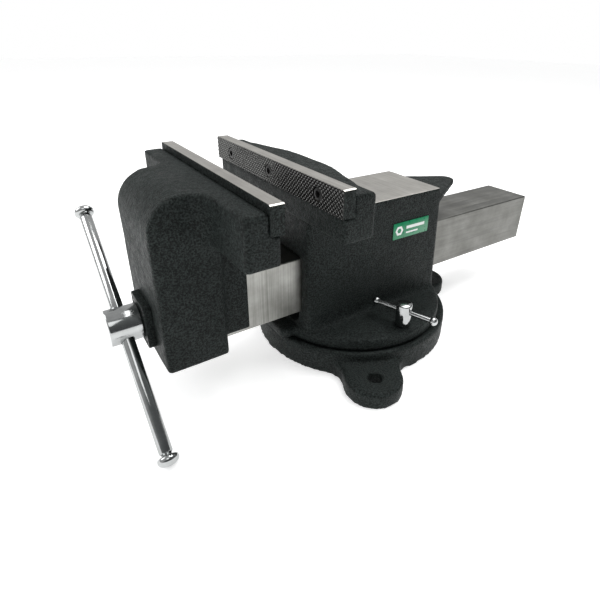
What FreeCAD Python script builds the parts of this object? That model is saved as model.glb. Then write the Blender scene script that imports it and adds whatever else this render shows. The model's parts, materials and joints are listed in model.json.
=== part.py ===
import FreeCAD, Part
import math
import os

# Bench vise with a swivel base, jaws 203 mm wide. All lengths are in millimetres.
# Frame: +Z is up, +Y runs from the handle to the anvil horn, and +X is the side with the label.
# The origin is where the swivel axis meets the plane that the base is bolted down on.

V = FreeCAD.Vector
os.makedirs("parts", exist_ok=True)

# Jaws and the steel plates screwed to them
JAW_HALF = 101.6
PLATE_TOP = 186.0
PLATE_HIGH = 20.5
PLATE_THICK = 10.8
PLATE_PROUD = 2.8
BLOCK_TOP = 181.2
BLOCK_BOTTOM = 145.6
FRONT_BLOCK_BOTTOM = 143.5
REAR_GRIP_Y = -95.1
OPENING = 43.2
PLATE_BOTTOM = PLATE_TOP - PLATE_HIGH
FRONT_GRIP_Y = REAR_GRIP_Y - OPENING
PLATE_SCREW_X = (-71.5, 0.0, 71.5)
PLATE_SCREW_Z = PLATE_TOP - 10.8
PLATE_HEAD_R = 5.0
PLATE_HEAD_LONG = 6.0
PLATE_SHANK_R = 3.0
PLATE_SHANK_LONG = 16.0
SCREW_SUNK = 0.5

# Slide bar: a square tube with a slot along its underside
BAR_Z = 75.5
BAR_HALF = 27.0
BAR_WALL = 8.0
BAR_FRONT_Y = -186.0
BAR_REAR_Y = 246.0
BAR_INNER = BAR_HALF - BAR_WALL
SLOT_HALF = 11.6
SLOT_FRONT_Y = -112.0
SLIDE_GAP = 0.15
PIN_R = 4.0
PIN_Y = (-179.0, -165.0)
PIN_TOP = 58.0

# Front jaw casting
COLUMN_HALF = 42.0
COLUMN_FRONT_Y = -207.0
COLUMN_REAR_Y = -156.5
COLUMN_BOTTOM = 42.0
COLUMN_ROUND = 27.0
SLEEVE_HALF = 34.0
SLEEVE_REAR_Y = -133.9
SLEEVE_BOTTOM = 55.3
FRONT_BLOCK_Y = -166.4
FRONT_LEDGE_Y = FRONT_GRIP_Y - PLATE_PROUD

# Fixed jaw casting
DISC_R = 91.0
DISC_TOP = 34.4
BODY_FRONT_Y = -80.5
BODY_REAR_Y = 83.5
BODY_HALF = 40.6
ANVIL_Z = 143.0
ANVIL_HALF = 38.0
ANVIL_REAR_Y = 77.0
REAR_LEDGE_Y = REAR_GRIP_Y + PLATE_PROUD
REAR_BLOCK_Y = -65.8
NECK_REAR_Y = -52.4
HORN_TIP_Y = 134.0
HORN_TOP = 137.0
HORN_TIP_R = 11.0
HORN_RIM = 5.0
HORN_BOTTOM = 98.0
CAVITY_HALF = 22.6
CAVITY_FLOOR = 36.0
FOOT_ROUND = 6.0
TONGUE_HALF = 28.4
TONGUE_FRONT_Y = -100.0

# Swivel base
RING_R = 97.8
RING_TOP = 24.6
RIM_INNER_R = 93.0
LAND_Z = 22.0
LUG_COUNT = 3
LUG_FIRST_DEG = -27.6
LUG_HOLE_PCD = 236.0
LUG_HOLE_R = 6.0
LUG_TIP_R = 26.0
LUG_TIP_REACH = 113.7
LUG_HIGH = 15.5
LUG_ROUND = 3.5
RING_ROUND = 2.5
GROOVE_MEAN_R = 78.0
GROOVE_TOP_HALF = 6.5
GROOVE_WIDE_HALF = 12.0
GROOVE_FLOOR = 6.0
GROOVE_STEP = 15.5
FACE_GAP = 0.1
PIVOT_R = 8.0
PIVOT_RUN_GAP = 0.08

# Screw, retainer and handle
AXIS_Z = 73.0
THREAD_R = 12.0
RUN_GAP = 0.08
THREAD_REAR_Y = 176.0
COLLAR_R = 13.6
COLLAR_LONG = 5.0
WASHER_THICK = 2.0
NECK_R = 10.0
RETAINER_HALF = 18.2
RETAINER_THICK = 6.0
RETAINER_SCREW = 13.4
RETAINER_SCREW_R = 2.0
HEAD_R = 14.6
HEAD_FRONT_Y = -237.8
HEAD_REAR_Y = COLUMN_FRONT_Y - RETAINER_THICK - 0.4
HANDLE_Y = -226.2
HANDLE_R = 5.0
HANDLE_SLOPE_DEG = 38.0
HANDLE_DOWN = 107.3
HANDLE_UP = 107.3
KNOB_R = 7.8
KNOB_LONG = 8.0

# Screw nut and its fixings
NUT_FRONT_Y = -62.0
NUT_REAR_Y = -16.0
NUT_HEAD_HALF = 17.5
NUT_FOOT_HALF = 21.0
NUT_BOLT_Y = (-51.0, -27.0)
NUT_BOLT_R = 5.0
NUT_BOLT_HEAD_R = 8.0

# Swivel locks
LOCK_X = 78.0
LOCK_Y = 0.0
LOCK_R = 7.25
LOCK_TOP = 57.4
LOCK_STUD_R = 5.0
LOCK_BAR_Z = 49.5
LOCK_BAR_R = 2.3
LOCK_BAR_HALF = 28.9
LOCK_BALL_R = 3.8
LOCK_BAR_DEG = 19.0
SHOE_SPAN_DEG = 16.0


def box(x0, x1, y0, y1, z0, z1):
    """Box between two corners."""
    return Part.makeBox(x1 - x0, y1 - y0, z1 - z0, V(x0, y0, z0))


def rod(radius, start, end):
    """Round bar between two points."""
    run = end - start
    return Part.makeCylinder(radius, run.Length, start, run)


def along_y(radius, y0, y1, x=0.0, z=AXIS_Z):
    """Round bar parallel to Y."""
    return rod(radius, V(x, y0, z), V(x, y1, z))


def upright(radius, x, y, z0, z1):
    """Round bar parallel to Z."""
    return rod(radius, V(x, y, z0), V(x, y, z1))


def rounded_wire(corners):
    """Closed wire through (point, radius) corners, each corner replaced by a tangent arc."""
    count = len(corners)
    spans = []
    for i in range(count):
        point, radius = corners[i]
        back = corners[i - 1][0] - point
        ahead = corners[(i + 1) % count][0] - point
        back.normalize()
        ahead.normalize()
        half = back.getAngle(ahead) / 2
        reach = radius / math.tan(half)
        middle = back + ahead
        if radius:
            middle.normalize()
        middle = point + middle * (radius / math.sin(half) - radius)
        spans.append((point + back * reach, middle, point + ahead * reach))
    edges = []
    for i in range(count):
        start, middle, end = spans[i]
        following = spans[(i + 1) % count][0]
        if (end - start).Length > 1e-6:
            edges.append(Part.Arc(start, middle, end).toShape())
        if (following - end).Length > 1e-6:
            edges.append(Part.LineSegment(end, following).toShape())
    return Part.Wire(edges)


def place(axis, a, b, level):
    """Point at a level on one axis, with a and b along the other two in X, Y, Z order."""
    if axis == "x":
        return V(level, a, b)
    if axis == "y":
        return V(a, level, b)
    return V(a, b, level)


def prism(axis, low, high, corners):
    """Solid of an outline of (a, b, radius) corners, drawn out along one axis."""
    wire = rounded_wire([(place(axis, a, b, low), radius) for a, b, radius in corners])
    return Part.Face(wire).extrude(place(axis, 0.0, 0.0, high - low))


def mirrored_outline(corners):
    """Outline symmetric about a = 0, given its corners on the positive side in order."""
    other = [(-a, b, radius) for a, b, radius in reversed(corners)]
    return corners + other


def inside(edge, low, high):
    """True where the whole edge lies between two corners."""
    room = edge.BoundBox
    tight = 0.01
    return (room.XMin > low[0] - tight and room.XMax < high[0] + tight
            and room.YMin > low[1] - tight and room.YMax < high[1] + tight
            and room.ZMin > low[2] - tight and room.ZMax < high[2] + tight)


def soften(shape, radius, *rooms):
    """Round every edge that lies inside one of the given boxes."""
    chosen = []
    for edge in shape.Edges:
        if any(inside(edge, low, high) for low, high in rooms):
            chosen.append(edge)
    return shape.makeFillet(radius, chosen)


def level_edges(shape, z):
    """Edges that lie flat at one height."""
    return [edge for edge in shape.Edges
            if abs(edge.BoundBox.ZMin - z) < 0.01 and abs(edge.BoundBox.ZMax - z) < 0.01]


def ring_piece(profile, span_deg=360.0, start_deg=0.0):
    """Solid swept about Z from (radius, z) points."""
    points = [V(r, 0, z) for r, z in profile]
    face = Part.Face(Part.makePolygon(points + points[:1]))
    piece = face.revolve(V(0, 0, 0), V(0, 0, 1), span_deg)
    piece.rotate(V(0, 0, 0), V(0, 0, 1), start_deg)
    return piece


def hexagon(across, centre, direction, depth):
    """Six-sided prism from a centre, along a direction."""
    corner_r = across / math.sqrt(3)
    points = [V(corner_r * math.cos(k * math.pi / 3), corner_r * math.sin(k * math.pi / 3), 0)
              for k in range(7)]
    piece = Part.Face(Part.makePolygon(points)).extrude(V(0, 0, depth))
    turn = FreeCAD.Rotation(V(0, 0, 1), direction)
    piece.Placement = FreeCAD.Placement(centre, turn)
    return piece


def socket_screw(face_point, inward, head_r, head_long, shank_r, shank_long):
    """Socket-head cap screw whose head's top lies at face_point and whose shank runs inward."""
    neck = face_point + inward * head_long
    head = rod(head_r, face_point, neck)
    shank = rod(shank_r, neck, neck + inward * shank_long)
    recess = hexagon(head_r, face_point, inward, head_long * 0.55)
    return head.fuse(shank).removeSplitter().cut(recess)


def fuse(first, *others):
    """One solid from several that touch or overlap."""
    return first.fuse(list(others)).removeSplitter()


def save(node, shape):
    """Write a node, and stop if it isn't a valid closed shape."""
    if not shape.isValid() or shape.Volume <= 0:
        raise ValueError(node + " is not a valid solid")
    shape.exportStep("parts/" + node + ".step")
    print(node, len(shape.Solids), round(shape.Volume / 1000, 2), "cm3")


# Swivel base ---------------------------------------------------------------------------

def lug_angles():
    """Directions of the bolt-down lugs, in radians."""
    return [math.radians(LUG_FIRST_DEG + k * 360.0 / LUG_COUNT) for k in range(LUG_COUNT)]


def swivel_base():
    """Round base with three lugs, a rim round the turning disc and a T-groove for the locks."""
    hole_reach = LUG_HOLE_PCD / 2
    plate = upright(RING_R, 0, 0, 0, LUG_HIGH)
    plate.rotate(V(0, 0, 0), V(0, 0, 1), LUG_FIRST_DEG)
    for angle in lug_angles():
        strip = box(0, LUG_TIP_REACH, -LUG_TIP_R, LUG_TIP_R, 0, LUG_HIGH)
        lug = strip.fuse(upright(LUG_TIP_R, LUG_TIP_REACH, 0, 0, LUG_HIGH))
        lug.rotate(V(0, 0, 0), V(0, 0, 1), math.degrees(angle))
        plate = plate.fuse(lug)
    plate = plate.removeSplitter()
    roots = []
    for edge in plate.Edges:
        standing = edge.BoundBox.ZLength > LUG_HIGH - 1
        reach = math.hypot(edge.BoundBox.Center.x, edge.BoundBox.Center.y)
        if standing and reach < RING_R + 1 and edge.BoundBox.DiagonalLength < LUG_HIGH + 1:
            roots.append(edge)
    plate = plate.makeFillet(20.0, roots)
    plate = plate.makeFillet(LUG_ROUND, level_edges(plate, LUG_HIGH))
    ring = upright(RING_R, 0, 0, 0, RING_TOP)
    ring = ring.makeFillet(RING_ROUND, level_edges(ring, RING_TOP))
    base = fuse(plate, ring)
    base = base.cut(upright(RIM_INNER_R, 0, 0, LAND_Z, RING_TOP + 1))
    groove = ring_piece([
        (GROOVE_MEAN_R - GROOVE_WIDE_HALF, GROOVE_FLOOR), (GROOVE_MEAN_R + GROOVE_WIDE_HALF, GROOVE_FLOOR),
        (GROOVE_MEAN_R + GROOVE_WIDE_HALF, GROOVE_STEP), (GROOVE_MEAN_R + GROOVE_TOP_HALF, GROOVE_STEP),
        (GROOVE_MEAN_R + GROOVE_TOP_HALF, LAND_Z + 1), (GROOVE_MEAN_R - GROOVE_TOP_HALF, LAND_Z + 1),
        (GROOVE_MEAN_R - GROOVE_TOP_HALF, GROOVE_STEP), (GROOVE_MEAN_R - GROOVE_WIDE_HALF, GROOVE_STEP)])
    base = base.cut(groove)
    base = base.cut(upright(PIVOT_R + PIVOT_RUN_GAP, 0, 0, 0, LAND_Z + 1))
    base = base.cut(upright(20.0, 0, 0, -1, 14.0))
    base = base.cut(ring_piece([(30.0, -1), (58.0, -1), (58.0, 13.0), (30.0, 13.0)]))
    for angle in lug_angles():
        x = hole_reach * math.cos(angle)
        y = hole_reach * math.sin(angle)
        base = base.cut(upright(LUG_HOLE_R, x, y, -1, LUG_HIGH + 1))
    return base


def pivot_bolt():
    """Hexagon bolt that holds the fixed jaw down on the base and lets it turn."""
    head = hexagon(24.0, V(0, 0, 1.0), V(0, 0, 1), 10.0)
    return fuse(head, upright(PIVOT_R, 0, 0, 11.0, CAVITY_FLOOR - 0.5))


def pivot_washer():
    """Washer between the pivot bolt's head and the base."""
    ring = upright(16.0, 0, 0, 11.0, 14.0 - FACE_GAP)
    return ring.cut(upright(PIVOT_R, 0, 0, 10.0, 15.0))


# Fixed jaw -----------------------------------------------------------------------------

def plate_screw_cuts(shape, face_y, sign):
    """Tapped holes for the jaw plate's screws, cut into a casting from its seat."""
    for x in PLATE_SCREW_X:
        start = face_y + sign * (SCREW_SUNK + PLATE_HEAD_LONG)
        shape = shape.cut(along_y(PLATE_SHANK_R, *sorted((start, start + sign * PLATE_SHANK_LONG)),
                                  x, PLATE_SCREW_Z))
    return shape


def tapered_body():
    """Main block under the anvil, narrowing slightly upwards."""
    rings = []
    for z, half, rear, rear_r in ((DISC_TOP - 2, BODY_HALF, BODY_REAR_Y, 7.0),
                                  (ANVIL_Z, ANVIL_HALF, ANVIL_REAR_Y, 2.5)):
        corners = [(-half, BODY_FRONT_Y, 3.0), (half, BODY_FRONT_Y, 3.0),
                   (half, rear, rear_r), (-half, rear, rear_r)]
        rings.append(rounded_wire([(V(a, b, z), radius) for a, b, radius in corners]))
    return Part.makeLoft(rings, True, True)


def foot_blend(block):
    """Hollow blend where the block stands on the disc, kept inside the disc's rounded rim."""
    slab = upright(DISC_R + 30.0, 0, 0, DISC_TOP - 1.5, DISC_TOP)
    standing = fuse(block, slab)
    foot = [edge for edge in level_edges(standing, DISC_TOP) if edge.BoundBox.YMax < BODY_REAR_Y + 1]
    standing = standing.makeFillet(FOOT_ROUND, foot)
    return standing.common(upright(DISC_R - 2.0, 0, 0, DISC_TOP - 1.0, DISC_TOP + FOOT_ROUND + 0.5))


def horn_outline(half, tip_y, z):
    """Plan outline of the horn at one level: straight tapering sides and a round tip."""
    root_y = ANVIL_REAR_Y - 14.0
    tip_half = 6.5 * half / ANVIL_HALF
    radius = HORN_TIP_R * half / ANVIL_HALF
    corners = [(-half, root_y, 0.0), (half, root_y, 0.0), (half, ANVIL_REAR_Y + 2.0, 3.0),
               (tip_half, tip_y, radius), (-tip_half, tip_y, radius), (-half, ANVIL_REAR_Y + 2.0, 3.0)]
    return rounded_wire([(V(x, y, z), r) for x, y, r in corners])


def horn():
    """Anvil horn: flat on top with a thin rim, and undercut below like half a cone."""
    rim_z = HORN_TOP - HORN_RIM
    top = Part.Face(horn_outline(ANVIL_HALF, HORN_TIP_Y, rim_z)).extrude(V(0, 0, HORN_RIM))
    top = top.makeFillet(2.0, [edge for edge in level_edges(top, HORN_TOP)
                               if edge.BoundBox.YMax > ANVIL_REAR_Y + 1])
    under = Part.makeLoft([horn_outline(22.0, ANVIL_REAR_Y + 12.0, HORN_BOTTOM),
                           horn_outline(ANVIL_HALF, HORN_TIP_Y, rim_z)], True, True)
    return fuse(top, under)


def rear_block():
    """Wide head of the fixed jaw, with round ends and hollow blends down to the body."""
    front = prism("y", REAR_LEDGE_Y, REAR_BLOCK_Y, mirrored_outline([
        (20.0, 110.0, 0.0), (ANVIL_HALF, 110.0, 0.0), (ANVIL_HALF + 1.0, BLOCK_BOTTOM, 16.0),
        (JAW_HALF, BLOCK_BOTTOM, 2.5), (JAW_HALF, BLOCK_TOP, 2.5)]))
    side = prism("x", -JAW_HALF, JAW_HALF, [
        (REAR_LEDGE_Y, PLATE_BOTTOM, 0.0), (REAR_LEDGE_Y, BLOCK_BOTTOM, 3.0),
        (BODY_FRONT_Y, BLOCK_BOTTOM, 4.0), (BODY_FRONT_Y, 110.0, 0.0), (REAR_BLOCK_Y, 110.0, 0.0),
        (REAR_BLOCK_Y, BLOCK_TOP, 4.0), (REAR_GRIP_Y + PLATE_THICK, BLOCK_TOP, 0.0),
        (REAR_GRIP_Y + PLATE_THICK, PLATE_BOTTOM, 0.0)])
    neck = prism("z", ANVIL_Z - 20.0, BLOCK_TOP, mirrored_outline([
        (80.0, REAR_BLOCK_Y - 8.0, 0.0), (80.0, REAR_BLOCK_Y, 0.0), (30.0, NECK_REAR_Y, 60.0)]))
    wedge = prism("x", -JAW_HALF, JAW_HALF, [
        (REAR_BLOCK_Y - 8.0, ANVIL_Z - 20.0, 0.0), (NECK_REAR_Y, ANVIL_Z - 20.0, 0.0),
        (NECK_REAR_Y, ANVIL_Z, 0.0), (NECK_REAR_Y + 2.0, BLOCK_TOP, 4.0),
        (REAR_BLOCK_Y - 8.0, BLOCK_TOP, 0.0)])
    under = prism("y", REAR_BLOCK_Y - 20.0, NECK_REAR_Y + 20.0, mirrored_outline([
        (ANVIL_HALF, ANVIL_Z - 20.0, 0.0), (ANVIL_HALF + 1.0, BLOCK_BOTTOM, 16.0),
        (JAW_HALF, BLOCK_BOTTOM, 0.0), (JAW_HALF, BLOCK_TOP, 0.0)]))
    return fuse(front.common(side), neck.common(wedge).common(under))


def body_casting():
    """Fixed jaw, anvil, horn and swivel disc in one casting, with the way for the slide bar."""
    disc = upright(DISC_R, 0, 0, LAND_Z + FACE_GAP, DISC_TOP)
    tongue = prism("z", RING_TOP + 0.5, DISC_TOP, [
        (-TONGUE_HALF, -60.0, 0.0), (-TONGUE_HALF, TONGUE_FRONT_Y, 7.0),
        (TONGUE_HALF, TONGUE_FRONT_Y, 7.0), (TONGUE_HALF, -60.0, 0.0)])
    disc = fuse(disc, tongue)
    disc = disc.makeFillet(2.0, level_edges(disc, DISC_TOP))
    block = tapered_body()
    body = fuse(block, disc, foot_blend(block), horn(), rear_block())
    way = BAR_HALF + SLIDE_GAP
    body = body.cut(box(-way, way, -120, 160, BAR_Z - way, BAR_Z + way))
    body = body.cut(box(-CAVITY_HALF, CAVITY_HALF, -120, 58, CAVITY_FLOOR, BAR_Z - way + 1))
    body = body.cut(upright(PIVOT_R, 0, 0, 0, CAVITY_FLOOR + 1))
    for y in NUT_BOLT_Y:
        body = body.cut(upright(NUT_BOLT_R, 0, y, 0, CAVITY_FLOOR + 1))
        body = body.cut(upright(NUT_BOLT_HEAD_R + 0.5, 0, y, 0, 30.0))
    for side in (-1, 1):
        body = body.cut(upright(LOCK_STUD_R + 0.4, side * LOCK_X, LOCK_Y, 0, DISC_TOP + 1))
    return plate_screw_cuts(body, REAR_GRIP_Y, 1)


def jaw_plate(grip_y, back_y, inward):
    """Hardened steel plate with three counterbored screw holes in its gripping face."""
    low, high = sorted((grip_y, back_y))
    plate = box(-JAW_HALF, JAW_HALF, low, high, PLATE_BOTTOM, PLATE_TOP)
    long_edges = [edge for edge in plate.Edges if edge.BoundBox.XLength > JAW_HALF]
    plate = plate.makeChamfer(0.4, long_edges)
    for x in PLATE_SCREW_X:
        seat = grip_y + inward * (SCREW_SUNK + PLATE_HEAD_LONG)
        plate = plate.cut(along_y(PLATE_SHANK_R, low - 1, high + 1, x, PLATE_SCREW_Z))
        plate = plate.cut(along_y(PLATE_HEAD_R + 0.4, *sorted((grip_y - inward, seat)), x, PLATE_SCREW_Z))
    return plate


def plate_screws(grip_y, inward):
    """Three socket-head screws that hold one jaw plate."""
    screws = []
    for x in PLATE_SCREW_X:
        start = V(x, grip_y + inward * SCREW_SUNK, PLATE_SCREW_Z)
        screws.append(socket_screw(start, V(0, inward, 0), PLATE_HEAD_R, PLATE_HEAD_LONG,
                                   PLATE_SHANK_R, PLATE_SHANK_LONG - 2.0))
    return Part.makeCompound(screws)


def spindle_nut():
    """Nut block inside the slide bar, on a foot that stands in the casting's cavity."""
    nut = fuse(
        box(-NUT_HEAD_HALF, NUT_HEAD_HALF, NUT_FRONT_Y, NUT_REAR_Y,
            BAR_Z - NUT_HEAD_HALF, BAR_Z + NUT_HEAD_HALF),
        box(-SLOT_HALF + 0.6, SLOT_HALF - 0.6, NUT_FRONT_Y, NUT_REAR_Y, CAVITY_FLOOR, AXIS_Z),
        box(-NUT_FOOT_HALF, NUT_FOOT_HALF, NUT_FRONT_Y, NUT_REAR_Y, CAVITY_FLOOR, 46.0))
    nut = nut.cut(along_y(THREAD_R + RUN_GAP, NUT_FRONT_Y - 1, NUT_REAR_Y + 1))
    for y in NUT_BOLT_Y:
        nut = nut.cut(upright(NUT_BOLT_R, 0, y, CAVITY_FLOOR - 1, 56.0))
    return nut


def nut_bolts():
    """Two socket-head bolts up through the swivel disc into the nut."""
    bolts = []
    for y in NUT_BOLT_Y:
        bolts.append(socket_screw(V(0, y, 22.6), V(0, 0, 1), NUT_BOLT_HEAD_R, 7.4, NUT_BOLT_R, 24.0))
    return Part.makeCompound(bolts)


def side_label():
    """Thin label plate that lies on the tapered right side of the body."""
    slope = (BODY_HALF - ANVIL_HALF) / (ANVIL_Z - DISC_TOP + 2)
    low, high = 102.0, 118.0
    x_low = ANVIL_HALF + slope * (ANVIL_Z - low)
    x_high = ANVIL_HALF + slope * (ANVIL_Z - high)
    thick = 0.6
    return prism("y", 15.3, 61.5, [
        (x_low, low, 0.0), (x_low + thick, low, 0.0), (x_high + thick, high, 0.0), (x_high, high, 0.0)])


# Swivel locks --------------------------------------------------------------------------

def lock_shoe(side):
    """T-shaped shoe that runs in the base's groove and is drawn up by its lock screw."""
    gap = 0.3
    centre_deg = 0.0 if side > 0 else 180.0
    shoe = ring_piece([
        (GROOVE_MEAN_R - GROOVE_WIDE_HALF + gap, GROOVE_FLOOR + gap),
        (GROOVE_MEAN_R + GROOVE_WIDE_HALF - gap, GROOVE_FLOOR + gap),
        (GROOVE_MEAN_R + GROOVE_WIDE_HALF - gap, GROOVE_STEP - gap),
        (GROOVE_MEAN_R + GROOVE_TOP_HALF - gap, GROOVE_STEP - gap),
        (GROOVE_MEAN_R + GROOVE_TOP_HALF - gap, LAND_Z - gap),
        (GROOVE_MEAN_R - GROOVE_TOP_HALF + gap, LAND_Z - gap),
        (GROOVE_MEAN_R - GROOVE_TOP_HALF + gap, GROOVE_STEP - gap),
        (GROOVE_MEAN_R - GROOVE_WIDE_HALF + gap, GROOVE_STEP - gap)],
        SHOE_SPAN_DEG, centre_deg - SHOE_SPAN_DEG / 2)
    return shoe.cut(upright(LOCK_STUD_R + 0.05, side * LOCK_X, LOCK_Y, 0, DISC_TOP))


def bar_direction():
    """Direction of a lock's cross bar."""
    angle = math.radians(LOCK_BAR_DEG)
    return V(math.cos(angle), math.sin(angle), 0)


def lock_screw(side):
    """Lock screw: a round head with a cross hole, on a stud down to its shoe."""
    x = side * LOCK_X
    head = upright(LOCK_R, x, LOCK_Y, DISC_TOP + FACE_GAP, LOCK_TOP)
    head = head.makeFillet(0.8, [edge for edge in head.Edges if edge.BoundBox.ZMin > LOCK_TOP - 0.01])
    screw = fuse(head, upright(LOCK_STUD_R, x, LOCK_Y, GROOVE_FLOOR + 2.0, DISC_TOP + 1))
    centre = V(x, LOCK_Y, LOCK_BAR_Z)
    reach = bar_direction() * 20.0
    return screw.cut(rod(LOCK_BAR_R + 0.06, centre - reach, centre + reach))


def lock_bar(side):
    """Small cross bar turned in one piece with a ball at each end."""
    neck = LOCK_BAR_HALF - math.sqrt(LOCK_BALL_R ** 2 - LOCK_BAR_R ** 2)
    tip = LOCK_BAR_HALF + LOCK_BALL_R
    points = [V(0, 0, -tip), V(LOCK_BALL_R, 0, -LOCK_BAR_HALF), V(LOCK_BAR_R, 0, -neck),
              V(LOCK_BAR_R, 0, neck), V(LOCK_BALL_R, 0, LOCK_BAR_HALF), V(0, 0, tip)]
    edges = [Part.Arc(*points[:3]).toShape(), Part.makeLine(points[2], points[3]),
             Part.Arc(*points[3:]).toShape(), Part.makeLine(points[5], points[0])]
    bar = Part.Face(Part.Wire(edges)).revolve(V(0, 0, 0), V(0, 0, 1), 360)
    centre = V(side * LOCK_X, LOCK_Y, LOCK_BAR_Z)
    bar.Placement = FreeCAD.Placement(centre, FreeCAD.Rotation(V(0, 0, 1), bar_direction()))
    return bar


# Front jaw -----------------------------------------------------------------------------

def front_column():
    """Upright of the front jaw, with its quarter-round shoulder at the front."""
    column = prism("x", -COLUMN_HALF, COLUMN_HALF, [
        (COLUMN_FRONT_Y, COLUMN_BOTTOM, 3.0), (COLUMN_REAR_Y, COLUMN_BOTTOM, 2.0),
        (COLUMN_REAR_Y, BLOCK_TOP, 0.0), (COLUMN_FRONT_Y, BLOCK_TOP, COLUMN_ROUND)])
    return soften(column, 4.0, (V(-COLUMN_HALF, COLUMN_FRONT_Y, COLUMN_BOTTOM),
                                V(-COLUMN_HALF, COLUMN_REAR_Y - 1, BLOCK_TOP)),
                  (V(COLUMN_HALF, COLUMN_FRONT_Y, COLUMN_BOTTOM),
                   V(COLUMN_HALF, COLUMN_REAR_Y - 1, BLOCK_TOP)))


def front_block():
    """Wide head of the front jaw, blended into the column in plan and from below."""
    blend = 16.0
    plan = prism("z", 100.0, BLOCK_TOP, mirrored_outline([
        (COLUMN_HALF - 1.0, FRONT_BLOCK_Y - blend - 6.0, 0.0), (COLUMN_HALF, FRONT_BLOCK_Y, blend),
        (JAW_HALF, FRONT_BLOCK_Y, 4.0), (JAW_HALF, FRONT_LEDGE_Y, 1.5)]))
    face = prism("y", COLUMN_FRONT_Y, FRONT_LEDGE_Y, mirrored_outline([
        (30.0, 110.0, 0.0), (COLUMN_HALF - 1.0, 110.0, 0.0), (COLUMN_HALF - 1.0, FRONT_BLOCK_BOTTOM, 0.0),
        (JAW_HALF, FRONT_BLOCK_BOTTOM, 2.5), (JAW_HALF, BLOCK_TOP, 2.5)]))
    seat = FRONT_GRIP_Y - PLATE_THICK
    side = prism("x", -JAW_HALF, JAW_HALF, [
        (FRONT_LEDGE_Y, PLATE_BOTTOM, 0.0), (FRONT_LEDGE_Y, FRONT_BLOCK_BOTTOM, 2.0),
        (COLUMN_REAR_Y, FRONT_BLOCK_BOTTOM, 4.0), (COLUMN_REAR_Y, 110.0, 0.0),
        (COLUMN_FRONT_Y, 110.0, 0.0), (COLUMN_FRONT_Y, BLOCK_TOP, COLUMN_ROUND),
        (seat, BLOCK_TOP, 0.0), (seat, PLATE_BOTTOM, 0.0)])
    return plan.common(face).common(side)


def sleeve():
    """Saddle behind the column that carries the slide bar."""
    shape = box(-SLEEVE_HALF, SLEEVE_HALF, COLUMN_REAR_Y - 5, SLEEVE_REAR_Y, SLEEVE_BOTTOM, 112.0)
    web = prism("x", -SLEEVE_HALF, SLEEVE_HALF, [
        (COLUMN_REAR_Y - 5, 108.0, 0.0), (SLEEVE_REAR_Y, 108.0, 0.0), (SLEEVE_REAR_Y, 112.0, 0.0),
        (FRONT_LEDGE_Y - 8.0, BLOCK_BOTTOM + 4.0, 0.0), (COLUMN_REAR_Y - 5, BLOCK_BOTTOM + 4.0, 0.0)])
    return fuse(shape, web)


def front_jaw_casting():
    """Front jaw: column, wide head and saddle in one casting, with a socket for the bar."""
    jaw = fuse(front_column(), front_block(), sleeve())
    jaw = jaw.cut(box(-BAR_HALF, BAR_HALF, BAR_FRONT_Y, -100, BAR_Z - BAR_HALF, BAR_Z + BAR_HALF))
    jaw = jaw.cut(along_y(THREAD_R + RUN_GAP, COLUMN_FRONT_Y - 1, BAR_FRONT_Y + 1))
    recess = COLLAR_LONG + WASHER_THICK + 0.6
    jaw = jaw.cut(along_y(COLLAR_R + 0.3, COLUMN_FRONT_Y - 1, COLUMN_FRONT_Y + recess))
    for x, z in retainer_screw_places():
        jaw = jaw.cut(along_y(RETAINER_SCREW_R, COLUMN_FRONT_Y - 1, COLUMN_FRONT_Y + 12.0, x, z))
    for y in PIN_Y:
        jaw = jaw.cut(upright(PIN_R, 0, y, COLUMN_BOTTOM - 1, PIN_TOP))
    return plate_screw_cuts(jaw, FRONT_GRIP_Y, -1)


def slide_bar():
    """Square steel tube that carries the front jaw and hides the screw."""
    bar = box(-BAR_HALF, BAR_HALF, BAR_FRONT_Y, BAR_REAR_Y, BAR_Z - BAR_HALF, BAR_Z + BAR_HALF)
    bar = bar.makeChamfer(0.8, [edge for edge in bar.Edges if edge.BoundBox.YLength > 100])
    bar = bar.cut(box(-BAR_INNER, BAR_INNER, BAR_FRONT_Y - 1, BAR_REAR_Y + 1,
                      BAR_Z - BAR_INNER, BAR_Z + BAR_INNER))
    bar = bar.cut(box(-SLOT_HALF, SLOT_HALF, SLOT_FRONT_Y, BAR_REAR_Y + 1, 40, BAR_Z - BAR_INNER + 1))
    for y in PIN_Y:
        bar = bar.cut(upright(PIN_R, 0, y, COLUMN_BOTTOM, PIN_TOP + 1))
    return bar


def bar_pins():
    """Two dowel pins, driven in from below, that hold the slide bar in the front jaw."""
    return Part.makeCompound([upright(PIN_R, 0, y, COLUMN_BOTTOM + 0.4, PIN_TOP) for y in PIN_Y])


def retainer_screw_places():
    """Places of the retainer's four screws, as x and z."""
    return [(sx * RETAINER_SCREW, AXIS_Z + sz * RETAINER_SCREW) for sx in (-1, 1) for sz in (-1, 1)]


def retainer_plate():
    """Square plate that keeps the screw's collar in the front jaw."""
    low = AXIS_Z - RETAINER_HALF
    high = AXIS_Z + RETAINER_HALF
    plate = prism("y", COLUMN_FRONT_Y - RETAINER_THICK, COLUMN_FRONT_Y, [
        (-RETAINER_HALF, low, 3.5), (RETAINER_HALF, low, 3.5),
        (RETAINER_HALF, high, 3.5), (-RETAINER_HALF, high, 3.5)])
    front = [edge for edge in plate.Edges
             if edge.BoundBox.YMax < COLUMN_FRONT_Y - RETAINER_THICK + 0.01]
    plate = plate.makeFillet(0.8, front)
    plate = plate.cut(along_y(NECK_R + RUN_GAP, COLUMN_FRONT_Y - 10, COLUMN_FRONT_Y + 1))
    for x, z in retainer_screw_places():
        plate = plate.cut(along_y(RETAINER_SCREW_R, COLUMN_FRONT_Y - 10, COLUMN_FRONT_Y + 1, x, z))
        plate = plate.cut(along_y(3.7, COLUMN_FRONT_Y - 10, COLUMN_FRONT_Y - 2.4, x, z))
    return plate


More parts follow.
